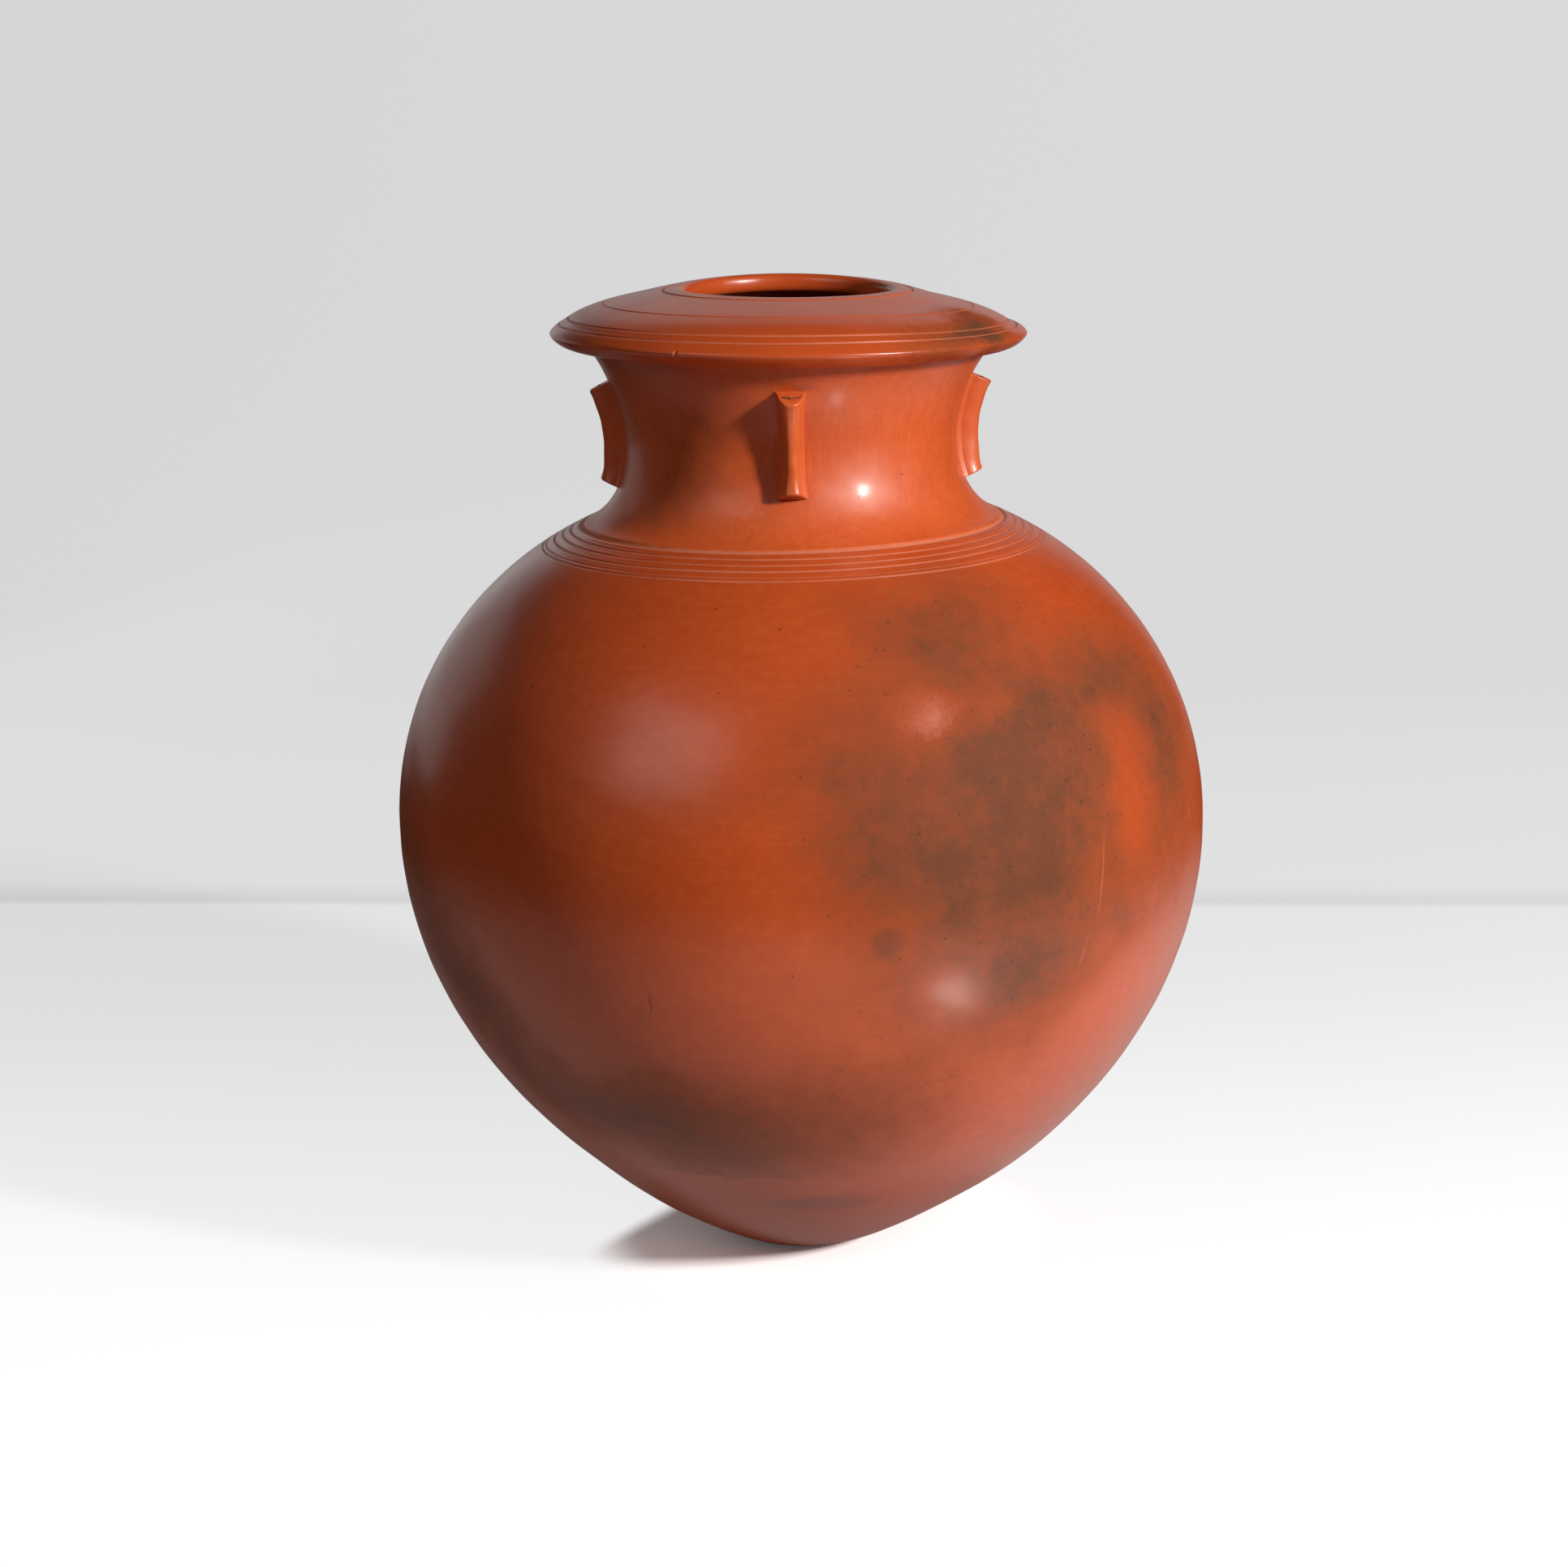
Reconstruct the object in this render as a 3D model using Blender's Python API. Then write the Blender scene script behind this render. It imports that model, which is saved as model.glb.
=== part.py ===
# Collared vessel of burnished clay, hollow, standing on a small flat foot.
# It is raised in stages that are luted together: a base bowl, a belly wall, a shoulder, a waisted neck
# and a domed collar with a round mouth. Four tubular cord lugs are pressed onto the neck.
# Metres, +Z up. The origin is the centre of the foot, and the front lug faces -Y.

import math
from collections import namedtuple

import bmesh
import bpy
from mathutils import Vector

# Clay and joints
WALL = 0.008                    # thickness of the wall
JOINT_LAP = 0.005               # height of the tongue that each stage sets into the next
JOINT_GAP = 0.0003              # clearance left for the slip in every joint
SEGMENTS = 40                   # facets round the vessel

# Base bowl and belly wall: one sweep from the foot's edge up to the widest ring
FOOT_RADIUS = 0.030
FOOT_SLOPE = 24.0               # degrees above the floor at which the wall leaves the foot
FOOT_PULL = 0.087               # how far the wall keeps to that slope
BELLY_RADIUS = 0.190
BELLY_HEIGHT = 0.2085
BELLY_PULL_DOWN = 0.098         # how far the wall stays upright below the widest ring
BASE_RINGS = 6                  # rings of the sweep that belong to the base bowl
BELLY_RINGS = 6                 # rings of the sweep that belong to the belly wall

# Shoulder: from the widest ring in to the foot of the neck
BELLY_PULL_UP = 0.082
SHOULDER_RISE = 0.1432
NECK_FOOT_RADIUS = 0.0985
SHOULDER_SLOPE = 27.0           # degrees above the floor where shoulder and neck meet
SHOULDER_PULL = 0.0485
SHOULDER_RINGS = 9

# Neck: in to the waist, then out to the collar's seat
NECK_FOOT_PULL = 0.0165
WAIST_RADIUS = 0.0768
WAIST_RISE = 0.0373             # from the neck's foot
WAIST_PULL_DOWN = 0.0185
WAIST_PULL_UP = 0.0145
NECK_TOP_RADIUS = 0.0918
NECK_TOP_RISE = 0.0413          # from the waist
NECK_TOP_SLOPE = 50.0
NECK_TOP_PULL = 0.011
NECK_RINGS = 5                  # rings on either side of the waist

# Collar: a domed disc whose lip overhangs the neck
LIP_RADIUS = 0.1105
LIP_RISE = 0.0068               # the lip's nose above the neck's top
LIP_NOSE = 0.0006               # blunt height of the nose
LIP_UNDER_SLOPE = 57.0
LIP_UNDER_PULL = 0.0075
SEAT_SLOPE = 5.0                # fall of the underside where it reaches the neck
SEAT_PULL = 0.007
DOME_LIP_SLOPE = 47.0
DOME_LIP_PULL = 0.0168
DOME_RISE = 0.0200              # crest of the mouth above the nose
DOME_CREST_SLOPE = 8.0
DOME_CREST_PULL = 0.036
MOUTH_RADIUS = 0.0470
CREST_FLAT = 0.0010             # narrow level ring round the mouth
THROAT_DEPTH = 0.0085           # height of the mouth's inner wall below the crest
THROAT_ROUND = 0.0030           # rounding of both edges of that wall
UNDER_RINGS = 4
DOME_RINGS = 8
ROUND_RINGS = 3

# Incised rings, as distances along the surface
GROOVE_WIDTH = 0.0016
GROOVE_DEPTH = 0.0006
LEDGE_WIDTH = 0.0034            # wider groove at the foot of the neck
SHOULDER_GROOVES = (0.0055, 0.0099, 0.0143, 0.0186, 0.0208)     # out from the neck's foot
COLLAR_GROOVES = (0.0068, 0.0117, 0.0289)                       # in from the lip's nose
MOUTH_GROOVE = 0.0060           # out from the crest of the mouth

# Cord lugs
LUG_REACH_UP = 0.030            # along the neck above the waist
LUG_REACH_DOWN = 0.020          # along the neck below the waist
LUG_WIDTH = 0.0140
LUG_HEIGHT = 0.0097             # how far a lug stands off the neck
LUG_STRIP = 0.0020              # thickness of the flat strip along each side
LUG_ROUND_POINTS = 7            # points over the rounded back
LUG_STATIONS = 9
TUNNEL_WIDTH = 0.0072
TUNNEL_HEIGHT = 0.0028
TUNNEL_LIFT = 0.0042            # middle of the tunnel above the neck
TUNNEL_POINTS = 8
LUG_NAMES = ("lug_right", "lug_back", "lug_left", "lug_front")    # in quarter turns from +X

# Colours of the burnished slip, linear, and how glossy it is
BASE_CLAY = (0.27, 0.068, 0.024)
BELLY_CLAY = (0.30, 0.072, 0.026)
SHOULDER_CLAY = (0.33, 0.080, 0.030)
NECK_CLAY = (0.50, 0.108, 0.032)
COLLAR_CLAY = (0.40, 0.090, 0.032)
LUG_CLAY = (0.47, 0.105, 0.034)
BURNISH_ROUGHNESS = 0.32

# Shading and welding of the meshes
CRISP_ANGLE = 35.0              # degrees above which an edge stays crisp
WELD_DISTANCE = 1e-6

UP = Vector((0, 1))

# A place on the wall, seen in section: a point, the way up along the wall, and the way out of it
Station = namedtuple("Station", "outer along out")

# A joint between two stages: its place, the way its tongue stands, and which half of the wall stands up.
# Each is chosen so that the upper stage can be lowered straight onto the lower one.
Seam = namedtuple("Seam", "station rise outer_half")


def direction(degrees):
    """Unit vector in section, turned up from the outward radius."""
    return Vector((math.cos(math.radians(degrees)), math.sin(math.radians(degrees))))


def sweep(start, start_pull, end_pull, end, rings):
    """Stations along one cubic curve, both ends included."""
    stations = []
    for ring in range(rings + 1):
        t = ring / rings
        s = 1 - t
        point = s**3 * start + 3 * s * s * t * start_pull + 3 * s * t * t * end_pull + t**3 * end
        slope = s * s * (start_pull - start) + 2 * s * t * (end_pull - start_pull) + t * t * (end - end_pull)
        along = slope.normalized()
        stations.append(Station(point, along, Vector((along.y, -along.x))))
    return stations


def at_distance(stations, distance):
    """The station that lies this far along a run of stations."""
    for here, there in zip(stations, stations[1:]):
        step = (there.outer - here.outer).length
        if distance <= step or there is stations[-1]:
            share = distance / step
            along = here.along.lerp(there.along, share).normalized()
            point = here.outer.lerp(there.outer, share)
            return Station(point, along, Vector((along.y, -along.x)))
        distance -= step


def inner(station):
    """The point across the wall from a station."""
    return station.outer - station.out * WALL


def tongue(seam):
    """Rim of the lower stage, from the outside in: one half of the wall stands up as a tongue."""
    station = seam.station
    middle = station.outer - station.out * (WALL / 2)
    rise = seam.rise * JOINT_LAP
    if seam.outer_half:
        return [station.outer + rise, middle + rise, middle, inner(station)]
    return [station.outer, middle, middle + rise, inner(station) + rise]


def socket(seam):
    """Foot of the upper stage, from the inside out: it follows the tongue and clears it all round."""
    station = seam.station
    aside = Vector((seam.rise.y, -seam.rise.x)) * JOINT_GAP
    gap = seam.rise * (JOINT_GAP / seam.rise.dot(station.along))
    rise = seam.rise * JOINT_LAP + gap
    middle = station.outer - station.out * (WALL / 2)
    if seam.outer_half:
        return [inner(station) + gap, middle - aside + gap, middle - aside + rise, station.outer + rise]
    return [inner(station) + rise, middle + aside + rise, middle + aside + gap, station.outer + gap]


def run_length(stations):
    """Length of the surface along a run of stations."""
    return sum((there.outer - here.outer).length for here, there in zip(stations, stations[1:]))


def grooved(stations, distances):
    """Surface points along the stations with a V groove at each distance from their start."""
    marks = []
    for distance in distances:
        for shift, depth in ((-GROOVE_WIDTH / 2, 0.0), (0.0, GROOVE_DEPTH), (GROOVE_WIDTH / 2, 0.0)):
            place = at_distance(stations, distance + shift)
            marks.append((distance + shift, place.outer - place.out * depth))
    run = 0.0
    for here, there in zip(stations, stations[1:]):
        if all(abs(run - distance) > GROOVE_WIDTH for distance in distances):
            marks.append((run, here.outer))
        run += (there.outer - here.outer).length
    marks.append((run, stations[-1].outer))
    return [point for _, point in sorted(marks, key=lambda mark: mark[0])]


def burnished(name, colour):
    """Burnished clay slip of one colour."""
    material = bpy.data.materials.new(name)
    material.use_nodes = True
    shader = material.node_tree.nodes["Principled BSDF"]
    shader.inputs["Base Color"].default_value = (*colour, 1.0)
    shader.inputs["Roughness"].default_value = BURNISH_ROUGHNESS
    shader.inputs["Metallic"].default_value = 0.0
    return material


def add_piece(name, mesh, parent):
    """One sub-part, shaded smooth except at its crisp edges."""
    mesh.shade_smooth()
    mesh.set_sharp_from_angle(angle=math.radians(CRISP_ANGLE))
    piece = bpy.data.objects.new(name, mesh)
    piece.parent = parent
    bpy.context.scene.collection.objects.link(piece)
    return piece


def finish_mesh(work, name, material):
    """Weld the seam, turn every face outwards and store the mesh."""
    bmesh.ops.remove_doubles(work, verts=work.verts, dist=WELD_DISTANCE)
    bmesh.ops.recalc_face_normals(work, faces=work.faces)
    mesh = bpy.data.meshes.new(name)
    work.to_mesh(mesh)
    work.free()
    mesh.materials.append(material)
    return mesh


def turned(name, outline, closed, material):
    """A ring, or a bowl where the outline starts and ends on the axis, turned about Z."""
    work = bmesh.new()
    verts = [work.verts.new((point.x, 0.0, point.y)) for point in outline]
    pairs = list(zip(verts, verts[1:]))
    if closed:
        pairs.append((verts[-1], verts[0]))
    edges = [work.edges.new(pair) for pair in pairs]
    bmesh.ops.spin(work, geom=verts + edges, cent=(0, 0, 0), axis=(0, 0, 1),
                   angle=math.tau, steps=SEGMENTS, use_merge=True)
    return finish_mesh(work, name, material)


def wall_sweeps():
    """The four sweeps of the wall, from the foot up to the collar's seat."""
    foot = Vector((FOOT_RADIUS, 0))
    belly = Vector((BELLY_RADIUS, BELLY_HEIGHT))
    neck_foot = Vector((NECK_FOOT_RADIUS, BELLY_HEIGHT + SHOULDER_RISE))
    waist = Vector((WAIST_RADIUS, neck_foot.y + WAIST_RISE))
    neck_top = Vector((NECK_TOP_RADIUS, waist.y + NECK_TOP_RISE))
    shoulder_way = direction(180 - SHOULDER_SLOPE)
    lower = sweep(foot, foot + direction(FOOT_SLOPE) * FOOT_PULL,
                  belly - UP * BELLY_PULL_DOWN, belly, BASE_RINGS + BELLY_RINGS)
    upper = sweep(belly, belly + UP * BELLY_PULL_UP,
                  neck_foot - shoulder_way * SHOULDER_PULL, neck_foot, SHOULDER_RINGS)
    neck_in = sweep(neck_foot, neck_foot + shoulder_way * NECK_FOOT_PULL,
                    waist - UP * WAIST_PULL_DOWN, waist, NECK_RINGS)
    neck_out = sweep(waist, waist + UP * WAIST_PULL_UP,
                     neck_top - direction(NECK_TOP_SLOPE) * NECK_TOP_PULL, neck_top, NECK_RINGS)
    return lower, upper, neck_in, neck_out


def base_bowl(lower, rim):
    """Pressed bowl: flat foot, flat floor inside, tongue round the rim."""
    stations = lower[:BASE_RINGS]
    outside = [Vector((0, 0))] + [station.outer for station in stations]
    inside = [inner(station) for station in reversed(stations)]
    floor = Vector((0, inside[-1].y))
    return outside + tongue(rim) + inside + [floor]


def belly_wall(lower, foot, rim):
    """Coiled wall from the base bowl up to the widest ring."""
    stations = lower[BASE_RINGS + 1:-1]
    outside = [station.outer for station in stations]
    inside = [inner(station) for station in reversed(stations)]
    return outside + tongue(rim) + inside + socket(foot)


def shoulder(upper, foot, rim):
    """Closing dome with the incised rings round the foot of the neck."""
    downward = list(reversed(upper))
    incised = list(reversed(grooved(downward, SHOULDER_GROOVES)))
    ledge = at_distance(downward, LEDGE_WIDTH / 2).outer
    edge = tongue(rim)
    edge[0] = edge[0] - rim.station.out * GROOVE_DEPTH
    inside = [inner(station) for station in reversed(upper[1:-1])]
    return incised[1:-1] + [ledge] + edge + inside + socket(foot)


def neck(neck_in, neck_out, foot, rim):
    """Waisted neck, from the wide groove at its foot to the collar's seat."""
    stations = neck_in[1:] + neck_out[1:-1]
    edge = socket(foot)
    edge[-1] = edge[-1] - foot.station.out * GROOVE_DEPTH
    ledge = at_distance(neck_in, LEDGE_WIDTH / 2).outer
    outside = [ledge] + [station.outer for station in stations]
    inside = [inner(station) for station in reversed(stations)]
    return outside + tongue(rim) + inside + edge


def quarter_round(centre, radius, start_degrees):
    """Points over a quarter circle in section, turning from the start towards the axis and down."""
    return [centre + direction(start_degrees + 90 * ring / ROUND_RINGS) * radius
            for ring in range(ROUND_RINGS + 1)]


def collar(foot):
    """Domed disc: overhanging lip, incised dome, rounded mouth and the seat over the neck's tongue."""
    seat = socket(foot)
    nose = Vector((LIP_RADIUS, foot.station.outer.y + LIP_RISE))
    half_nose = Vector((0, LIP_NOSE / 2))
    crest = Vector((MOUTH_RADIUS + THROAT_ROUND + CREST_FLAT, nose.y + DOME_RISE))
    under = sweep(seat[-1], seat[-1] + direction(SEAT_SLOPE) * SEAT_PULL,
                  nose - half_nose + direction(180 + LIP_UNDER_SLOPE) * LIP_UNDER_PULL,
                  nose - half_nose, UNDER_RINGS)
    dome = sweep(nose + half_nose, nose + half_nose + direction(180 - DOME_LIP_SLOPE) * DOME_LIP_PULL,
                 crest + direction(-DOME_CREST_SLOPE) * DOME_CREST_PULL, crest, DOME_RINGS)
    top_centre = Vector((MOUTH_RADIUS + THROAT_ROUND, crest.y - THROAT_ROUND))
    low_centre = Vector((top_centre.x, crest.y - THROAT_DEPTH + THROAT_ROUND))
    throat = quarter_round(top_centre, THROAT_ROUND, 90) + quarter_round(low_centre, THROAT_ROUND, 180)
    hollow = [inner(station) for station in reversed(dome) if seat[0].x > inner(station).x > low_centre.x]
    incised = grooved(dome, COLLAR_GROOVES + (run_length(dome) - MOUTH_GROOVE,))
    return [station.outer for station in under[1:]] + incised[:-1] + throat + hollow + seat


def lug_ring(station, section):
    """A closed ring of points across a lug: (across, off the neck) pairs laid on the neck's curve."""
    ring = []
    for across, off in section:
        place = station.outer + station.out * (off + JOINT_GAP)
        turn = across / place.x
        ring.append(Vector((place.x * math.cos(turn), place.x * math.sin(turn), place.y)))
    return ring


def lug_section():
    """The D of a lug: two flat strips, a rounded back, and a seat with a middle point on the neck."""
    half = LUG_WIDTH / 2
    dome = LUG_HEIGHT - LUG_STRIP
    points = [(half, 0.0)]
    for point in range(LUG_ROUND_POINTS):
        turn = math.pi * point / (LUG_ROUND_POINTS - 1)
        points.append((half * math.cos(turn), LUG_STRIP + dome * math.sin(turn)))
    return points + [(-half, 0.0), (0.0, 0.0)]


def tunnel_section():
    """The flat oval of the cord tunnel."""
    points = []
    for point in range(TUNNEL_POINTS):
        turn = math.tau * point / TUNNEL_POINTS
        points.append((TUNNEL_WIDTH / 2 * math.cos(turn), TUNNEL_LIFT + TUNNEL_HEIGHT / 2 * math.sin(turn)))
    return points


def lug(neck_in, neck_out, material):
    """A tube along the neck at +X, lofted through its stations, pierced from end to end."""
    run = neck_in + neck_out[1:]
    start = run_length(neck_in) - LUG_REACH_DOWN
    length = LUG_REACH_DOWN + LUG_REACH_UP
    stations = [at_distance(run, start + length * step / (LUG_STATIONS - 1))
                for step in range(LUG_STATIONS)]
    work = bmesh.new()
    skins = []
    for section in (lug_section(), tunnel_section()):
        loops = []
        for station in stations:
            verts = [work.verts.new(point) for point in lug_ring(station, section)]
            loops.append([work.edges.new(pair) for pair in zip(verts, verts[1:] + verts[:1])])
        for lower, upper in zip(loops, loops[1:]):
            bmesh.ops.bridge_loops(work, edges=lower + upper)
        skins.append(loops)
    for end in (0, -1):
        bmesh.ops.bridge_loops(work, edges=skins[0][end] + skins[1][end])
    return finish_mesh(work, "lug", material)


def build():
    for old in list(bpy.data.objects):
        bpy.data.objects.remove(old, do_unlink=True)
    vessel = bpy.data.objects.new("vessel", None)
    bpy.context.scene.collection.objects.link(vessel)

    lower, upper, neck_in, neck_out = wall_sweeps()
    base_seam = Seam(lower[BASE_RINGS], lower[BASE_RINGS].along, True)
    belly_seam = Seam(lower[-1], UP, False)
    neck_seam = Seam(upper[-1], upper[-1].along, False)
    collar_seam = Seam(neck_out[-1], UP, False)
    stages = (
        ("base_bowl", base_bowl(lower, base_seam), False, BASE_CLAY),
        ("belly_wall", belly_wall(lower, base_seam, belly_seam), True, BELLY_CLAY),
        ("shoulder", shoulder(upper, belly_seam, neck_seam), True, SHOULDER_CLAY),
        ("neck", neck(neck_in, neck_out, neck_seam, collar_seam), True, NECK_CLAY),
        ("collar", collar(collar_seam), True, COLLAR_CLAY),
    )
    for name, outline, closed, colour in stages:
        add_piece(name, turned(name, outline, closed, burnished(name + "_clay", colour)), vessel)

    lug_mesh = lug(neck_in, neck_out, burnished("lug_clay", LUG_CLAY))
    for quarter, name in enumerate(LUG_NAMES):
        piece = add_piece(name, lug_mesh, vessel)
        piece.rotation_euler.z = math.radians(90 * quarter)


build()
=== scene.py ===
# Collared vessel in burnished red clay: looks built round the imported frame
import math

import bpy
import numpy as np
from mathutils import Matrix, Vector


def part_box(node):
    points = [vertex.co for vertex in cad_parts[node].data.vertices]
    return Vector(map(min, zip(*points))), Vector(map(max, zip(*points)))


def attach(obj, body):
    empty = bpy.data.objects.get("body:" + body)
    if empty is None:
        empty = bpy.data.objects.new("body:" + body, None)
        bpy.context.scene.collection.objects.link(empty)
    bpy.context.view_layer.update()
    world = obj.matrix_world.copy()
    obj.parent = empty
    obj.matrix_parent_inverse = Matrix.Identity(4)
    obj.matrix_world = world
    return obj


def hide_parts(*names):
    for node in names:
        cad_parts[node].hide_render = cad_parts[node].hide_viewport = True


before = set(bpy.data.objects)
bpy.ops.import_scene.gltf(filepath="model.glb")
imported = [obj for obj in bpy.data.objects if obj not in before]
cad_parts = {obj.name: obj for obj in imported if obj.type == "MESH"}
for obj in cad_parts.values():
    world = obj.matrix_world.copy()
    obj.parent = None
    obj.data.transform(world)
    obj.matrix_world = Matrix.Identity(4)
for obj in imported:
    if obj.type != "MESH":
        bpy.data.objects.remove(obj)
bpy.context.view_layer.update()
print("frame:", len(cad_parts), "nodes")


# Section curves: everything turned starts as a chain of (radius, height) points

def ray(degrees):  # unit step in section, turned up from the outward radius
    return np.array([math.cos(math.radians(degrees)), math.sin(math.radians(degrees))])


def curve(start, startPull, endPull, end, count=601):
    # cubic curve: (1-t)^3 start + 3(1-t)^2 t startPull + 3(1-t) t^2 endPull + t^3 end
    t = np.linspace(0, 1, count)[:, None]
    s = 1 - t
    return s**3 * start + 3 * s * s * t * startPull + 3 * s * t * t * endPull + t**3 * end


def arc(centre, radius, fromDegrees, toDegrees, count=25):  # centre + radius * ray(angle)
    turn = np.radians(np.linspace(fromDegrees, toDegrees, count))[:, None]
    return centre + radius * np.hstack([np.cos(turn), np.sin(turn)])


def chainOf(*parts):  # chains laid end to end, with shared end points kept once
    joined = [parts[0]] + [part[1:] if np.allclose(part[0], last[-1]) else part
                           for last, part in zip(parts, parts[1:])]
    return np.vstack(joined)


def runOf(points):  # distance travelled along a chain at each of its points
    return np.concatenate([[0], np.cumsum(np.hypot(*np.diff(points, axis=0).T))])


def pick(values, places, run):  # pairs of values known along a run, read off at the given distances
    return np.column_stack([np.interp(places, run, values[:, k]) for k in (0, 1)])


def outward(points):  # unit normal of a chain that climbs its outer side: the tangent turned right
    tangent = np.gradient(points, axis=0)
    tangent /= np.linalg.norm(tangent, axis=1)[:, None]
    return np.column_stack([tangent[:, 1], -tangent[:, 0]])


def ease(x):  # smooth step: 3x^2 - 2x^3 on x held between 0 and 1
    x = np.clip(x, 0, 1)
    return x * x * (3 - 2 * x)


def fade(x, start, end):  # smooth step from 0 at start to 1 at end, whichever is the larger
    return ease((x - start) / (end - start))


def spacing(start, end, step, marks=(), reach=.0024, fine=.0002):
    # distances from start to end, step apart, and fine apart within reach of each mark
    coarse = np.linspace(start, end, int(round((end - start) / step)) + 1)
    marks = np.asarray(marks, float).reshape(-1, 1)
    close = np.concatenate([np.arange(-reach, reach, fine) + mark for mark in marks] or [[]])
    if len(marks):
        coarse = coarse[(np.abs(coarse - marks).min(0) > reach) | (coarse == start) | (coarse == end)]
    close = close[(close > start + fine) & (close < end - fine)]
    every = np.sort(np.concatenate([coarse, close]))
    return every[np.concatenate([[True], np.diff(every) > fine * .4])]


# Hand work: nothing on the vessel is quite true

handWork = {
    # waves round the vessel: metres, turns, climb, phase
    "swells": ((.00030, 2, 9, .4), (.00018, 3, -14, 1.9), (.00010, 5, 31, .8)),
    "facets": ((.000035, 13, 170, .3), (.000030, 19, -240, 1.1), (.000022, 29, 390, 2.2)),
    "swellRadius": .05, "swellHeight": .02, "swellLeast": .02,  # they die out at the axis and the ground
    "collarTilt": 1.15,  # degrees down to the right of the vessel
    "tiltFrom": .405, "tiltTo": .431,  # heights between which the tilt sets in
    "mouthLift": .0025, "liftSharp": 1.5,  # far side of the mouth stands higher
    "liftFull": .056, "liftGone": .100,  # radii between which the lift fades out
    "slumpRight": .0021, "slumpLeft": .0008,  # the dome sags at both sides, more to the right
    "slumpFrom": .056, "slumpTo": .108,  # radii between which it sags
    "slumpIn": 2.5, "slumpOut": 9,  # how soon the sag sets in and how late it ends
    "slumpLow": .4365, "slumpHigh": .4415,  # heights between which the sag sets in
    "lean": .0125, "leanTop": .32, "leanSoft": .03,  # the wall leans left as it climbs, up to the neck
    "footAside": .0036, "footFrom": .058, "footTo": .020,  # the foot sits a little to the left
}


def handMade(points):
    # radius grows by a sum of slow waves a sin(n azimuth + c height + p), the collar shears down to one side,
    # the dome sags at its sides, the far side of the mouth rises, the foot moves aside,
    # and the whole leans by lean * height, levelling off softly at leanTop
    x, y, z = points[..., 0], points[..., 1], points[..., 2]
    azimuth, radius = np.arctan2(x, -y), np.hypot(x, y)
    swell = sum(size * np.sin(turns * azimuth + climb * z + phase)
                for size, turns, climb, phase in handWork["swells"] + handWork["facets"])
    swell = swell * ease(radius / handWork["swellRadius"]) * ease(z / handWork["swellHeight"])
    swell = swell / np.maximum(radius, handWork["swellLeast"])
    tilt = fade(z, handWork["tiltFrom"], handWork["tiltTo"])
    lift = fade(radius, handWork["liftGone"], handWork["liftFull"]) * handWork["mouthLift"] * tilt
    lift = lift * np.clip(-np.cos(azimuth), 0, 1)**handWork["liftSharp"]
    ring = (radius - handWork["slumpFrom"]) / (handWork["slumpTo"] - handWork["slumpFrom"])
    sag = np.where(x > 0, handWork["slumpRight"], handWork["slumpLeft"]) * np.sin(azimuth)**2 * tilt
    sag = sag * fade(z, handWork["slumpLow"], handWork["slumpHigh"])
    sag = sag * ease(ring * handWork["slumpIn"]) * ease((1 - ring) * handWork["slumpOut"])
    drop = math.tan(math.radians(handWork["collarTilt"])) * x * tilt + sag
    over = handWork["leanSoft"] * np.logaddexp(0, (z - handWork["leanTop"]) / handWork["leanSoft"])
    aside = handWork["footAside"] * fade(z, handWork["footFrom"], handWork["footTo"])
    aside = aside + handWork["lean"] * (z - over)
    return np.stack([x * (1 + swell) - aside, y * (1 + swell), z - drop + lift], axis=-1)


def turned(section, azimuth):  # radius * (sin, -cos) of the azimuth, and the height: azimuth 0 is the front
    radius, height = section[..., 0], section[..., 1]
    return np.stack(np.broadcast_arrays(radius * np.sin(azimuth), -radius * np.cos(azimuth), height), axis=-1)


def gridNormals(grid, closedRows):
    # cross product of the steps along the columns and the rows; the columns always close
    across = np.roll(grid, -1, axis=1) - np.roll(grid, 1, axis=1)
    along = np.roll(grid, -1, axis=0) - np.roll(grid, 1, axis=0)
    if not closedRows:
        along[0], along[-1] = grid[1] - grid[0], grid[-1] - grid[-2]
    normal = np.cross(across, along)
    return normal / np.maximum(np.linalg.norm(normal, axis=-1, keepdims=True), 1e-12)


def addPiece(name, grid, normals, marks, material, node, poles=None):
    # a grid of points whose columns close on themselves; its rows close too, or end in two poles
    rows, cols = grid.shape[:2]
    index = np.arange(rows * cols).reshape(rows, cols)
    nextRow, nextCol = np.roll(index, -1, axis=0), np.roll(index, -1, axis=1)
    corners = np.stack([index, nextCol, np.roll(nextRow, -1, axis=1), nextRow], axis=-1)
    faces = (corners if poles is None else corners[:-1]).reshape(-1, 4).tolist()
    points = grid.reshape(-1, 3)
    if poles is not None:
        points = np.vstack([points, poles])
        normals = np.vstack([normals.reshape(-1, 3), [(0, 0, -1), (0, 0, 1)]])
        marks = {key: np.append(value, [value.flat[0], value.flat[-1]]) for key, value in marks.items()}
        low, high = rows * cols, rows * cols + 1
        faces += np.stack([np.full(cols, low), nextCol[0], index[0]], axis=-1).tolist()
        faces += np.stack([np.full(cols, high), index[-1], nextCol[-1]], axis=-1).tolist()
    mesh = bpy.data.meshes.new(name)
    mesh.from_pydata(points.tolist(), [], faces)
    mesh.shade_smooth()
    for key, value in marks.items():
        mesh.attributes.new(key, "FLOAT", "POINT").data.foreach_set("value", value.ravel().astype(np.float32))
    mesh.normals_split_custom_set_from_vertices(normals.reshape(-1, 3).tolist())
    mesh.materials.append(material)
    piece = bpy.data.objects.new(name, mesh)
    bpy.context.scene.collection.objects.link(piece)
    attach(piece, "root")
    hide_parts(node)
    print("piece:", name, len(faces), "faces")


# Shader maths

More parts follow.
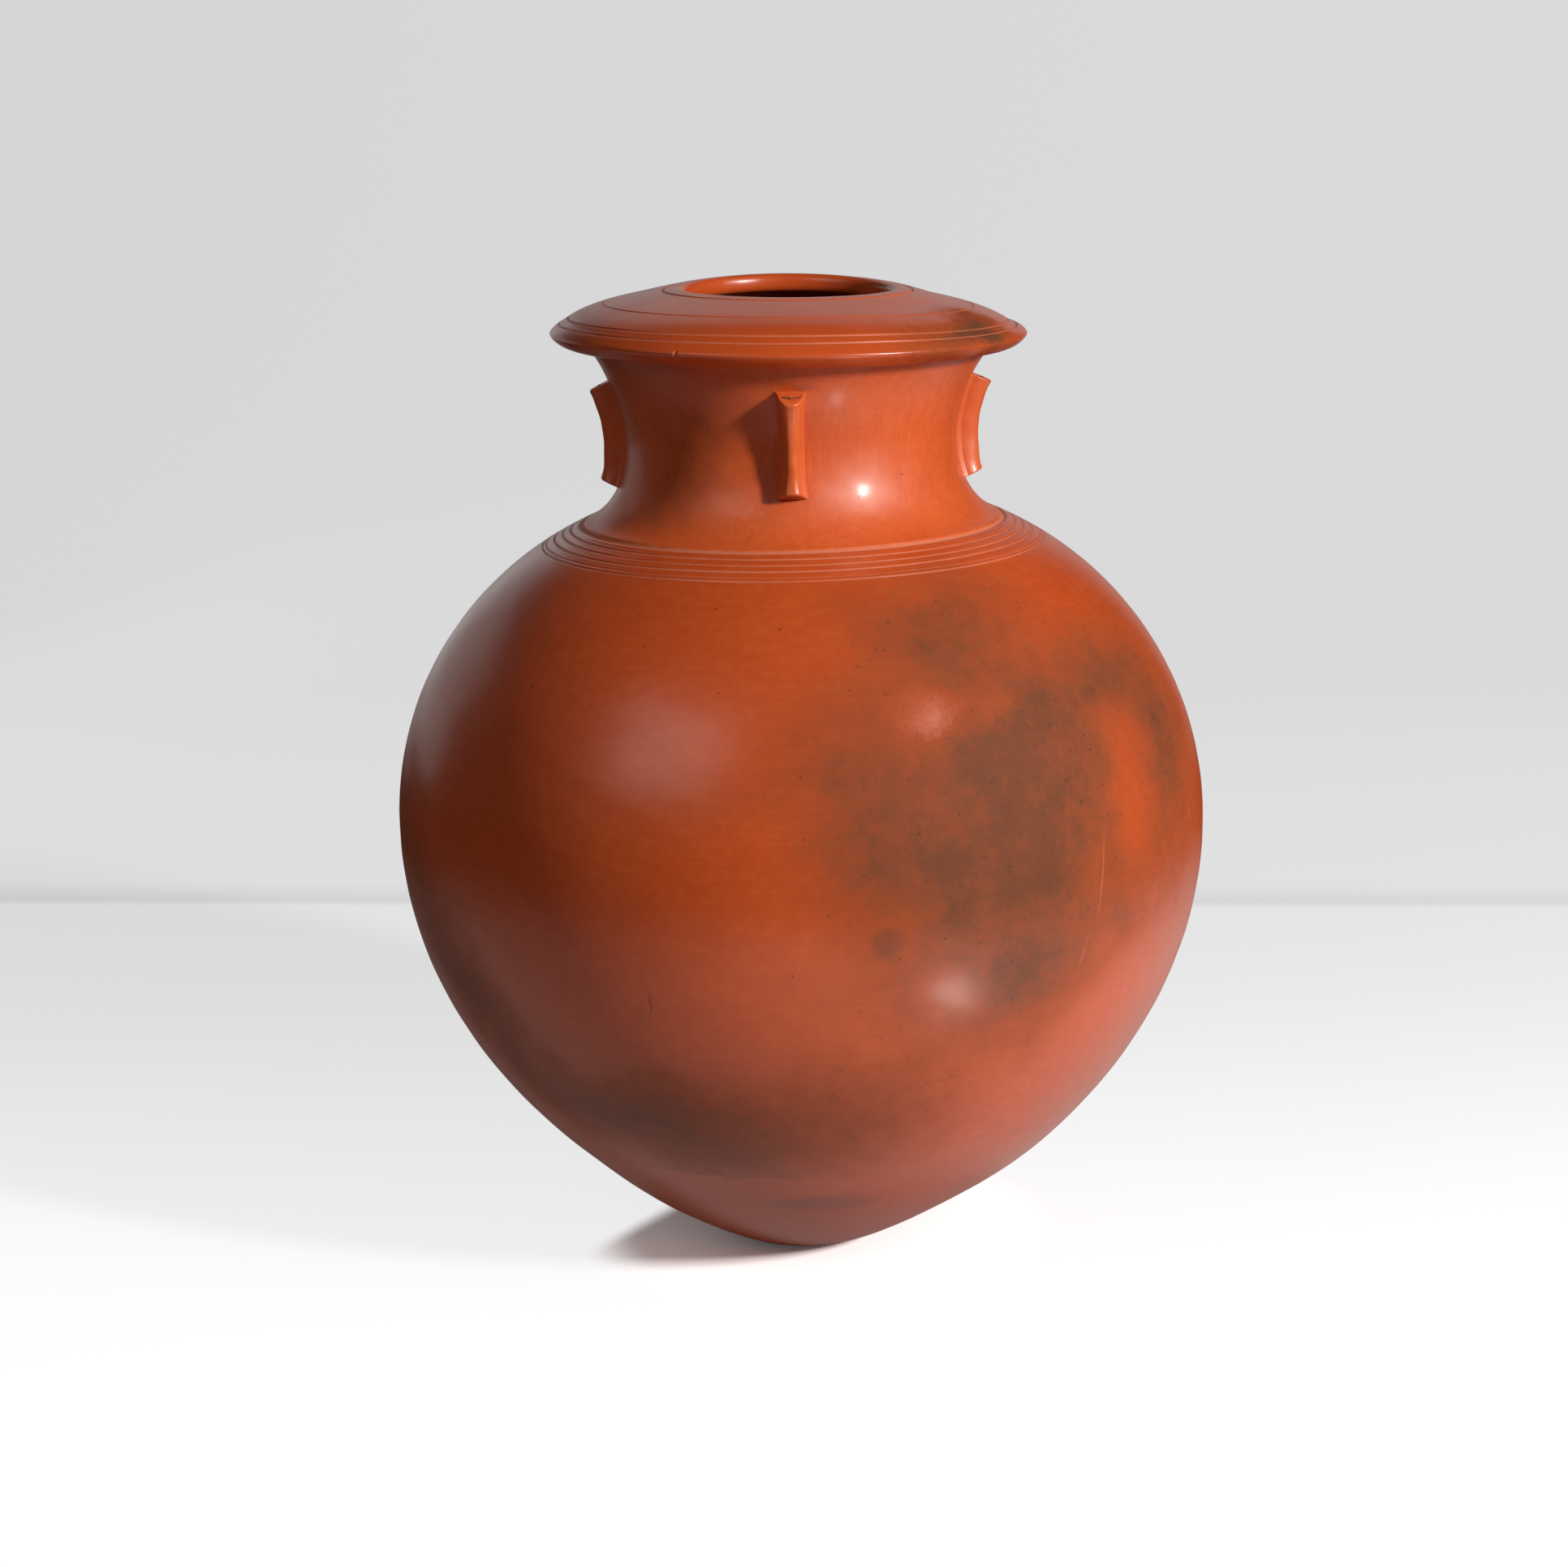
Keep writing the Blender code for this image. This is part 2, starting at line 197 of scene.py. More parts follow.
class Wire:
    # an output socket of a material; + - * on wires and numbers add Math nodes beside it
    def __init__(self, tree, socket=None):
        self.tree, self.socket = tree, socket

    def node(self, kind, settings, inputs, output=0):  # any node: settings first, then values or links
        made = self.tree.nodes.new(kind)
        for key, value in settings.items():
            setattr(made, key, value)
        for key, value in inputs.items():
            if isinstance(value, Wire):
                self.tree.links.new(value.socket, made.inputs[key])
            else:
                made.inputs[key].default_value = value
        return Wire(self.tree, made.outputs[output] if made.outputs else None)

    def math(self, operation, first, second=0.0):
        return self.node("ShaderNodeMath", {"operation": operation}, {0: first, 1: second})

    def __add__(self, other):
        return self.math("ADD", self, other)

    def __radd__(self, other):
        return self.math("ADD", other, self)

    def __sub__(self, other):
        return self.math("SUBTRACT", self, other)

    def __rsub__(self, other):
        return self.math("SUBTRACT", other, self)

    def __mul__(self, other):
        return self.math("MULTIPLY", self, other)

    def __rmul__(self, other):
        return self.math("MULTIPLY", other, self)

    def step(self, low, high):  # smooth step from 0 at low to 1 at high
        return self.node("ShaderNodeMapRange", {"interpolation_type": "SMOOTHSTEP"},
                         {"Value": self, "From Min": low, "From Max": high})

    def ramp(self, low, high):  # straight rise from 0 at low to 1 at high
        return self.node("ShaderNodeMapRange", {}, {"Value": self, "From Min": low, "From Max": high})

    def grain(self, size, detail, rough, shift, stretch=(1, 1, 1)):
        # noise between 0 and 1 with lumps of this size in metres, drawn out by the stretch
        scale = tuple(1 / (size * part) for part in stretch)
        moved = self.node("ShaderNodeMapping", {}, {"Vector": self, "Location": (shift,) * 3, "Scale": scale})
        return self.node("ShaderNodeTexNoise", {}, {"Vector": moved, "Scale": 1.0, "Detail": detail,
                                                    "Roughness": rough}, "Fac")

    def shoved(self, reach, scale=30.0):
        # a place pushed about by noise, up to half the reach along each axis
        push = self.node("ShaderNodeTexNoise", {}, {"Vector": self, "Scale": scale, "Detail": 4.0}, "Color")
        shove = self.node("ShaderNodeVectorMath", {"operation": "SUBTRACT"}, {0: push, 1: (.5, .5, .5)})
        return self.node("ShaderNodeVectorMath", {"operation": "MULTIPLY_ADD"}, {0: shove, 1: reach, 2: self})

    def dots(self, scale, core, rim):  # 1 in round dots, this many to a metre, falling to 0 from core to rim
        far = self.node("ShaderNodeTexVoronoi", {}, {"Vector": self, "Scale": scale}, "Distance")
        return 1 - far.step(core, rim)

    def spot(self, mark, **usual):
        # 1 in the middle of an oval that lies on the wall, falling to 0 at its rim
        mark = {"radius": wallRadius(mark["height"]), "lean": 0, "deep": .06, "core": .15, **usual, **mark}
        turn = math.radians(mark["azimuth"])
        centre = (mark["radius"] * math.sin(turn), -mark["radius"] * math.cos(turn), mark["height"])
        local = self.node("ShaderNodeMapping", {"vector_type": "TEXTURE"}, {
            "Vector": self, "Location": centre, "Rotation": (0, math.radians(mark["lean"]), turn),
            "Scale": (mark["wide"], mark["deep"], mark["tall"])})
        far = self.node("ShaderNodeVectorMath", {"operation": "LENGTH"}, {0: local}, "Value")
        return far.step(1.0, mark["core"]) * mark["dark"]

    def blend(self, one, other):  # colour one where self is 0, the other where it is 1
        return self.node("ShaderNodeMix", {"data_type": "RGBA"}, {0: self, 6: one, 7: other}, 2)


def paint(red, green, blue):
    return (red, green, blue, 1.0)


def grey(level):
    return paint(level, level, level)


def oval(azimuth, height, wide, tall, dark, **more):
    # a mark on the wall: degrees to the right of the front, height and half sizes in metres, and strength
    return {"azimuth": azimuth, "height": height, "wide": wide, "tall": tall, "dark": dark, **more}


# The wall: foot, belly, shoulder and neck as one climbing chain

outline = {
    "thick": .008,
    "footFlat": .0215, "footRadius": .0304, "footRound": .020, "footSlope": 25.3, "footPull": .0885,
    "bellyRadius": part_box("belly_wall")[1].x, "bellyHeight": .2095,
    "bellyPullDown": .100, "bellyPullUp": .0735,
    "neckFoot": (.0982, .3505), "shoulderSlope": 23, "shoulderPull": .0480, "neckFootPull": .0165,
    "waist": (.0768, .3890), "waistPullDown": .0185, "waistPullUp": .0145,
    "neckTop": (.0918, .4303), "neckTopSlope": 50, "neckTopPull": .011,
    "columns": 360, "step": .0026, "innerStep": .006,
    # rows that close the foot below and the floor inside, as shares of their radius
    "soleShares": (.20, .38, .56, .74, .92), "floorShares": (.900, .725, .550, .375, .200),
}
up = np.array([0.0, 1.0])
foot = np.array([outline["footRadius"], 0.0])
belly = np.array([outline["bellyRadius"], outline["bellyHeight"]])
neckFoot, waist, neckTop = (np.array(outline[key]) for key in ("neckFoot", "waist", "neckTop"))
footWay, shoulderWay = ray(outline["footSlope"]), ray(180 - outline["shoulderSlope"])
lower = curve(foot, foot + footWay * outline["footPull"], belly - up * outline["bellyPullDown"], belly)
lower = lower[runOf(lower) > outline["footRound"]]  # the corner at the foot is rubbed round
soleEdge = np.array([outline["footFlat"], 0.0])
halfRound = outline["footRound"] / 2
rubbedFoot = curve(soleEdge, soleEdge + [halfRound, 0], lower[0] - footWay * halfRound, lower[0], 61)
lower = chainOf(rubbedFoot, lower)
upper = curve(belly, belly + up * outline["bellyPullUp"],
              neckFoot - shoulderWay * outline["shoulderPull"], neckFoot)
neckIn = curve(neckFoot, neckFoot + shoulderWay * outline["neckFootPull"],
               waist - up * outline["waistPullDown"], waist)
neckOut = curve(waist, waist + up * outline["waistPullUp"],
                neckTop - ray(outline["neckTopSlope"]) * outline["neckTopPull"], neckTop)
wall = chainOf(lower, upper, neckIn, neckOut)
wallRun = runOf(wall)
wallOut = outward(wall)
baseSeam = wallRun[len(lower) // 2]
bellySeam = wallRun[len(lower) - 1]
neckSeam = wallRun[len(lower) + len(upper) - 2]
waistPlace = neckSeam + runOf(neckIn)[-1]


def wallRadius(height):  # radius of the outer wall at a height
    return float(np.interp(height, wall[:, 1], wall[:, 0]))


shoulderRings = (  # incised rings, metres out from the neck's foot, and the wider step at the foot itself
    {"out": .0000, "width": .0034, "depth": .00080, "burr": .00022},
    {"out": .0055, "width": .0015, "depth": .00042, "burr": .00006},
    {"out": .0099, "width": .0014, "depth": .00042, "burr": .00006},
    {"out": .0143, "width": .0014, "depth": .00040, "burr": .00006},
    {"out": .0186, "width": .0012, "depth": .00026, "burr": .00004},
    {"out": .0208, "width": .0012, "depth": .00036, "burr": .00005},
)
collarRings = (  # metres in from the lip's nose
    {"in": .0068, "width": .0013, "depth": .00036, "burr": .00005},
    {"in": .0117, "width": .0013, "depth": .00038, "burr": .00005},
    {"in": .0289, "width": .0012, "depth": .00034, "burr": .00005},
)
mouthRing = {"fromCrest": .0060, "width": .0018, "depth": .00052, "burr": .00008}
ringHand = {
    "sharp": 1.6, "burrOut": 1.45, "burrWide": .45,  # shape across a ring, in half widths
    "sway": .00012, "shake": .00007, "press": .22,  # how the hand wanders and presses round it
    "cutFull": .0004,  # depth at which the cut clay shows fully
}


def incised(places, azimuth, rings):
    # depth below the surface: each ring is a rounded V, exp(-sharp x^2), between two low burrs,
    # and it wanders a little; with it, how far the cut clay shows
    depth = np.zeros((len(places), len(azimuth)))
    for count, ring in enumerate(rings):
        wander = ringHand["sway"] * np.sin(2 * azimuth + 2.1 * count)
        wander = wander + ringHand["shake"] * np.sin(5 * azimuth + count)
        x = (places[:, None] - ring["at"] - wander) / (ring["width"] / 2)
        press = 1 + ringHand["press"] * np.sin(3 * azimuth + 1.7 * count) * np.cos(2 * azimuth - count)
        burr = ring["burr"] * np.exp(-((np.abs(x) - ringHand["burrOut"]) / ringHand["burrWide"])**2)
        depth += press * (ring["depth"] * np.exp(-ringHand["sharp"] * x * x) - burr)
    return depth, np.clip(depth / ringHand["cutFull"], 0, 1)


print("outline:", round(float(wallRun[-1]), 4), "m of wall")


# Burnished clay

clayLook = {
    "deep": paint(.480, .063, .010), "warm": paint(.660, .103, .017), "pale": paint(.710, .150, .036),
    "smoke": paint(.138, .046, .020), "soot": paint(.050, .022, .012), "raw": paint(.360, .085, .030),
    "stainShade": paint(.120, .040, .020), "cutTone": paint(.560, .150, .070), "stainShadeShove": (.012, .012, .008),
    "paleMost": .50, "hazeMost": .92, "tornMost": .40, "speckMost": .45, "pitMost": .80,  # tones' shares
    "washLine": .0715, "washUnder": .0008, "washOver": .0012, "washLeft": .08,  # smoke nearly ends here
    "speckDots": (260, .10, .24), "speckPatch": (.48, .62),  # dots to a metre, core, rim; where they come
    "pitDots": (95, .035, .075), "pitPatch": (.52, .60),  # small dark pits a few centimetres apart
    "gloss": .34, "cutGloss": .30, "rawGloss": .80, "shine": .50, "coat": .22, "coatGloss": .20,
    "smokyGloss": .70, "smokyShine": .12,
    "dullLow": (.04, .11), "dullHigh": (.19, .235),  # heights over which smoke dulls by half, then wholly
    "bump": .25, "bumpTall": .00012,
}
clayGrain = {  # size of the lumps in metres, detail, roughness and shift of each noise
    "broad": (.110, 3.0, .50, 0.0), "patchy": (.034, 5.0, .60, 3.1), "fine": (.0045, 4.0, .65, 7.7),
    "stroke": (.0016, 3.0, .55, 1.3), "longStroke": (.0050, 2.0, .50, 5.9), "pebbly": (.0022, 2.0, .50, 6.1),
    "drift": (.040, 7.0, .60, 9.3), "mottle": (.009, 5.0, .64, 5.3), "sandy": (.0011, 2.0, .60, 2.9),
    "tear": (.010, 5.0, .62, 8.6), "pitted": (.020, 1.0, .50, 4.4),
}
# how thin the rubbing strokes are along each axis, how much they show, shifts of tone and gloss, and a paler
# share that is painted sheen
clayHand = {
    "bodyClay": {"strokes": (.06, .06, 1), "rubbed": .25, "brighter": -.20, "duller": 0, "sheenPale": .13},
    "neckClay": {"strokes": (1, 1, .06), "rubbed": .60, "brighter": .06, "duller": .14, "sheenPale": .20},
    "collarClay": {"strokes": (.06, .06, 1), "rubbed": .50, "brighter": -.09, "duller": 0, "sheenPale": 0},
    "lugClay": {"strokes": (1, 1, .08), "rubbed": .40, "brighter": .08, "duller": .08, "sheenPale": .32},
}
toneLook = {  # weights and rises of the noises in tone, chalk with its painted sheen, stains with the painted pinhole shade, scratches, cuts, gloss and relief
    "broad": .7, "patchy": .35, "long": .25, "fine": .12, "less": .14, "rise": (.15, .85),
    "chalkSheenFine": .45, "chalkSheenMore": .05, "chalkSheenRise": (.05, .60),
    "stainShadeLeast": .6, "stainShadeFine": .8, "scratchRise": (.6, 1.2),
    "cutLeast": .55, "cutFine": .7, "cutRise": (.1, 1.1), "cutCoat": .8,
    "patchGloss": .10, "strokeGloss": .14, "dullRise": (0, .6),
    "strokeTall": .5, "longTall": .7, "pebbleTall": .5, "pitDeep": 2.5, "rawTall": 5.0,
}
smokeLook = {
    "shove": (.030, .030, .030), "patchLine": .008, "tearLine": .014, "tearStretch": (2.2, 2.2, .5),
    "mottle": .42, "fine": .32, "sandy": .32, "edge": (0, .40),  # grains inside the edge
    "hazeDrift": 1.1, "hazeRise": (.02, 1.0), "darkDrift": 1.8, "darkRise": (.90, 1.60),
}
bodyClouds = (  # smoke from the firing, and one oval far to the left that darkens the belly's lower left edge
    oval(27, .243, .112, .112, .90, deep=.13, core=.22),
    oval(29, .264, .064, .036, .12),
    oval(3, .282, .062, .046, .24, core=0),
    oval(60, .198, .072, .056, .36, core=0),
    oval(24, .328, .060, .022, .22, core=0),
    oval(34, .284, .040, .022, .32, core=0),
    oval(12, .178, .110, .034, .22, core=0),
    oval(8, .218, .050, .044, .22, core=0),
    oval(4, .258, .040, .032, .18, core=0),
    oval(24, .153, .078, .044, .42, core=0),
    oval(42, .200, .046, .056, .22, core=0),
    oval(28, .212, .062, .048, .10, core=0),
    oval(36, .172, .100, .050, .12, lean=-12, core=0),
    oval(28, .324, .084, .042, .52, core=.10),
    oval(62, .270, .074, .090, .80, core=.10),
    oval(50, .299, .056, .034, .40, core=0),
    oval(-12, .262, .056, .022, .16, core=0),
    oval(-30, .104, .090, .058, .64, core=.10),
    oval(-32, .108, .042, .030, .18, core=0),
    oval(4, .112, .096, .066, .56, core=0),
    oval(-8, .080, .078, .028, .24, core=.20),
    # darkens the belly's lower left edge along a slanting band
    oval(-56, .150, .052, .120, .72, lean=-37, core=0),
    oval(-76, .210, .070, .070, .40, core=0),
    oval(128, .250, .110, .085, .90, deep=.10),
    oval(112, .180, .085, .055, .50),
    oval(205, .150, .120, .075, .90, deep=.10),
    oval(182, .118, .085, .050, .50),
    oval(240, .290, .080, .056, .70),
)
bodyFlaresAndHighlights = (  # clearer red patches that the flame swept inside the clouds; two also brighten the colour where highlights fall
    oval(52, .252, .030, .050, .55, core=0),
    # painted highlight in part: clears the smoke where the front lamp's highlight falls, brightening the
    # colour there
    oval(18, .289, .028, .024, .36, core=0),
    oval(28, .289, .018, .016, .26, core=0),
    oval(44, .312, .022, .018, .20, core=0),
    # painted highlight in part: clears the smoke round the low highlight thrown up by the floor, brightening
    # the colour there
    oval(19.5, .172, .028, .024, .30, core=0),
)
bodyStains = (  # a thumb smear, a dark patch under the washed line, scrapes
    oval(9.4, .198, .0092, .0084, .42, core=.45),
    oval(.5, .0545, .034, .0066, .34, core=.5),
    oval(-22, .170, .0010, .0100, .60, lean=6),
    oval(-23.5, .164, .0020, .0050, .35, lean=14),
    oval(63, .268, .0032, .0110, .50, lean=-8),
)
bodyScratches = (  # fine pale lines
    oval(42.5, .212, .0007, .0260, .55, lean=8),
    oval(39.5, .180, .0006, .0110, .45, lean=14),
    oval(68, .222, .0008, .0070, .60, lean=-20),
)
# smoke on the neck, and a painted shade on its shaded left side
neckSmokeAndShade = (
    oval(-24, .404, .030, .016, .22, radius=.080),
    # painted shade: darkens the neck's shaded left side, in the smoke's colour
    oval(-41, .385, .032, .050, .34, radius=.080, core=.1),
)
neckStains = (  # where the front lug was pressed on
    oval(.5, .4205, .0085, .0028, .45, radius=.087, deep=.010),
)
collarClouds = (
    oval(44, .442, .060, .016, .72, radius=.100, deep=.040, core=0),
    oval(60, .445, .036, .014, .55, radius=.096, deep=.036, core=0),
    oval(-70, .446, .050, .018, .20, radius=.092, deep=.050, core=0),
)
lugPinholeShade = (  # two pinholes, painted dark with no hole in the mesh: painted shade
    oval(2.3, .4100, .0008, .0010, 1.0, radius=.0925, deep=.005, core=.5),
    oval(2.3, .4046, .0008, .0008, 1.0, radius=.0890, deep=.005, core=.5),
)


def smokeOn(place, grain, height, cloudsAndShade, flaresAndHighlights):
    # the clouds are soft ovals less the flares, each pushed about by noise, times a broad drift of noise,
    # with grains inside their edge, and they end at a washed line above the foot;
    # on the neck one oval is a painted shade, and on the belly two flares brighten the colour where
    # highlights fall, which is painted highlight in part; out come the haze, its darkest part and the edge
    tear = place.grain(*clayGrain["tear"], smokeLook["tearStretch"])
    line = height + (grain["patchy"] - .5) * smokeLook["patchLine"] + (tear - .5) * smokeLook["tearLine"]
    washed = line.step(clayLook["washLine"] - clayLook["washUnder"],
                       clayLook["washLine"] + clayLook["washOver"])
    wander = place.shoved(smokeLook["shove"])
    smoke = sum(wander.spot(cloud) for cloud in cloudsAndShade) - sum(wander.spot(flare) for flare in flaresAndHighlights)
    smoke = smoke * (washed * (1 - clayLook["washLeft"]) + clayLook["washLeft"])
    edge = smoke.step(*smokeLook["edge"])
    grains = sum((grain[key] - .5) * smokeLook[key] for key in ("mottle", "fine", "sandy")) * edge
    drift = grain["drift"] - .5
    haze = (smoke * (drift * smokeLook["hazeDrift"] + 1) + grains).ramp(*smokeLook["hazeRise"])
    dark = (smoke * (drift * smokeLook["darkDrift"] + 1) + grains).ramp(*smokeLook["darkRise"])
    return haze, dark, edge


def burnishedClay(name, cloudsAndShade=(), flaresAndHighlights=(), stainsAndShade=(), scratches=()):
    # red slip rubbed to a shine: slow tone changes, rubbing strokes with a paler share that is partly painted
    # sheen, torn smoke clouds (on the neck also a painted shade), flares (on the belly partly painted
    # highlight), stains (on the lugs, painted shade in two pinholes), scratches, pits, dull pale clay in the
    # incised lines and raw clay inside
    hand = clayHand[name]
    rubbed = hand["rubbed"]
    material = bpy.data.materials.new(name)
    material.use_nodes = True
    tree = material.node_tree
    tree.nodes.clear()
    place = Wire(tree).node("ShaderNodeTexCoord", {}, {}, "Object")
    height = place.node("ShaderNodeSeparateXYZ", {}, {"Vector": place}, "Z")
    cut = place.node("ShaderNodeAttribute", {"attribute_name": "cut"}, {}, "Fac")
    inside = place.node("ShaderNodeAttribute", {"attribute_name": "inside"}, {}, "Fac")
    drawn = tuple(1 / part for part in hand["strokes"])
    grain = {key: place.grain(*clayGrain[key], drawn if key in ("stroke", "longStroke") else (1, 1, 1))
             for key in clayGrain if key != "tear"}
    fine, patchy, stroke, longStroke = (grain[key] for key in ("fine", "patchy", "stroke", "longStroke"))

    tone = grain["broad"] * toneLook["broad"] + patchy * toneLook["patchy"]
    tone = tone + (longStroke - .5) * (toneLook["long"] * rubbed) + fine * toneLook["fine"]
    tone = (tone - toneLook["less"] + hand["brighter"]).step(*toneLook["rise"])
    colour = tone.blend(clayLook["deep"], clayLook["warm"])
    # pale clay along the rubbing strokes, raised on the body, neck and lugs by an offset that stands in for
    # the lamps' broad sheen: partly painted sheen
    chalkAndSheen = (stroke - .5) * rubbed + (fine - .5) * toneLook["chalkSheenFine"] + toneLook["chalkSheenMore"]
    chalkAndSheen = (chalkAndSheen + hand["sheenPale"]).step(*toneLook["chalkSheenRise"])
    colour = (chalkAndSheen * clayLook["paleMost"]).blend(colour, clayLook["pale"])

    haze, dark, edge = smokeOn(place, grain, height, cloudsAndShade, flaresAndHighlights)
    speck = place.dots(*clayLook["speckDots"]) * grain["mottle"].step(*clayLook["speckPatch"]) * edge
    colour = (haze * clayLook["hazeMost"]).blend(colour, clayLook["smoke"])
    colour = (dark * clayLook["tornMost"]).blend(colour, clayLook["soot"])
    colour = (speck * clayLook["speckMost"]).blend(colour, clayLook["soot"])

    calm = place.shoved(clayLook["stainShadeShove"])
    # stains, and on the lugs the painted shade of two pinholes
    for stainShade in stainsAndShade:
        uneven = toneLook["stainShadeLeast"] + fine * toneLook["stainShadeFine"]
        colour = (calm.spot(stainShade, deep=.03) * uneven).blend(colour, clayLook["stainShade"])
    for scratch in scratches:
        broken = (fine + grain["mottle"]).step(*toneLook["scratchRise"])
        colour = (place.spot(scratch, deep=.02, core=.4) * broken).blend(colour, clayLook["cutTone"])
    pit = place.dots(*clayLook["pitDots"]) * grain["pitted"].step(*clayLook["pitPatch"])
    colour = (pit * clayLook["pitMost"]).blend(colour, clayLook["soot"])
    dusty = (cut * (toneLook["cutLeast"] + fine * toneLook["cutFine"])).step(*toneLook["cutRise"])
    colour = dusty.blend(colour, clayLook["cutTone"])
    colour = inside.blend(colour, clayLook["raw"])

    rough = clayLook["gloss"] + hand["duller"] + (patchy - .5) * toneLook["patchGloss"]
    rough = rough + (stroke - .5) * (toneLook["strokeGloss"] * rubbed)
    rough = rough + cut * clayLook["cutGloss"] + inside * (clayLook["rawGloss"] - clayLook["gloss"])
    coat = clayLook["coat"] * (1 - inside) * (1 - cut * toneLook["cutCoat"])
    relief = stroke * (toneLook["strokeTall"] * rubbed) + longStroke * (toneLook["longTall"] * rubbed)
    relief = relief + grain["pebbly"] * toneLook["pebbleTall"] - pit * toneLook["pitDeep"]
    relief = relief + inside * fine * toneLook["rawTall"]
    normal = place.node("ShaderNodeBump", {}, {"Strength": clayLook["bump"], "Distance": clayLook["bumpTall"],
                                               "Height": relief}, "Normal")
    shiny = place.node("ShaderNodeBsdfPrincipled", {}, {
        "Base Color": colour, "Roughness": rough, "Coat Weight": coat,
        "Coat Roughness": clayLook["coatGloss"], "Specular IOR Level": clayLook["shine"],
        "Normal": normal}, "BSDF")
    smoky = place.node("ShaderNodeBsdfPrincipled", {}, {
        "Base Color": colour, "Roughness": clayLook["smokyGloss"],
        "Specular IOR Level": clayLook["smokyShine"], "Normal": normal}, "BSDF")
    dull = (height.step(*clayLook["dullLow"]) + height.step(*clayLook["dullHigh"])) * .5
    dull = haze.step(*toneLook["dullRise"]) * dull
    shader = place.node("ShaderNodeMixShader", {}, {0: dull, 1: shiny, 2: smoky})
    shader.node("ShaderNodeOutputMaterial", {}, {"Surface": shader})
    print("material:", name, len(tree.nodes), "nodes")
    return material


bodyClay = burnishedClay("bodyClay", bodyClouds, bodyFlaresAndHighlights, bodyStains, bodyScratches)
neckClay = burnishedClay("neckClay", neckSmokeAndShade, stainsAndShade=neckStains)
collarClay = burnishedClay("collarClay", collarClouds)
lugClay = burnishedClay("lugClay", stainsAndShade=lugPinholeShade)


# Foot, belly, shoulder and neck: one climbing skin cut at the luted joints

azimuth = np.linspace(0, 2 * np.pi, outline["columns"], endpoint=False)
rings = [{**ring, "at": neckSeam - ring["out"]} for ring in shoulderRings]
stageEnds = (0.0, baseSeam, bellySeam, neckSeam, wallRun[-1])
skinRun = [spacing(low, high, outline["step"], [ring["at"] for ring in rings])
           for low, high in zip(stageEnds, stageEnds[1:])]


def skinGrid(places):
    # wall point less the depth of the incised rings along the wall's normal, turned and made uneven
    depth, cut = incised(places, azimuth, rings)
    way = pick(wallOut, places, wallRun)
    section = pick(wall, places, wallRun)[:, None, :] - way[:, None, :] * depth[..., None]
    return handMade(turned(section, azimuth)), cut


def liningGrid(places):  # the same wall, one thickness in, walked back down
    places = places[::-1]
    section = pick(wall, places, wallRun) - pick(wallOut, places, wallRun) * outline["thick"]
    return handMade(turned(section[:, None, :], azimuth))


def flatRows(edge, shares):  # rows at these shares of the way from the middle to the edge, and the middle
    middle = edge.mean(0)
    return middle + np.array(shares)[:, None, None] * (edge - middle), middle


wholeRun = np.concatenate([run if not count else run[1:] for count, run in enumerate(skinRun)])
wholeGrid, wholeCut = skinGrid(wholeRun)
wholeNormals = gridNormals(wholeGrid, False)
stages = (
    ("baseBowl", "base_bowl", bodyClay, "body_clay"),
    ("bellyWall", "belly_wall", bodyClay, "body_clay"),
    ("shoulderDome", "shoulder", bodyClay, "body_clay"),
    ("waistedNeck", "neck", neckClay, "neck_clay"),
)
firstRow = 0
for (name, node, material, slot), run in zip(stages, skinRun):
    rows = slice(firstRow, firstRow + len(run))
    firstRow += len(run) - 1
    skin = wholeGrid[rows]
    lining = liningGrid(spacing(run[0], run[-1], outline["innerStep"]))
    grid = np.concatenate([skin, lining])
    normals = np.concatenate([wholeNormals[rows], gridNormals(lining, False)])
    poles, before = None, 0
    if node == "base_bowl":  # a flat foot below and a flat floor inside, each closed by a pole
        sole, soleMiddle = flatRows(skin[0], outline["soleShares"])
        floor, floorMiddle = flatRows(lining[-1], outline["floorShares"])
        flat = np.broadcast_to([0.0, 0.0, 1.0], sole.shape)
        grid = np.concatenate([sole, grid, floor])
        normals = np.concatenate([-flat, normals, flat])
        poles, before = [soleMiddle, floorMiddle], len(sole)
    cut, inside = np.zeros(grid.shape[:2]), np.zeros(grid.shape[:2])
    cut[before:before + len(skin)] = wholeCut[rows]
    inside[before + len(skin):] = 1
    addPiece(name, grid, normals, {"cut": cut, "inside": inside}, material, node, poles)


# Collar: overhanging lip, incised dome, rounded mouth

collarShape = {
    "lip": (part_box("collar")[1].x - .0010, .4371), "nose": .0006, "underSlope": 57, "underPull": .0075,
    "seatSlope": 5, "seatPull": .007, "domeSlope": 47, "domePull": .0168,
    "crestRise": .0200, "crestSlope": 8, "crestPull": .036, "crestFlat": .0010,
    "mouthRadius": .0470, "throatDepth": .0085, "throatRound": .0030,
    "noseRound": .0007, "noseReach": .0025, "smoothStep": .00005, "smoothCount": 60,
    "step": .0018, "columns": 360, "liningRows": 26, "insideRise": 3,
}
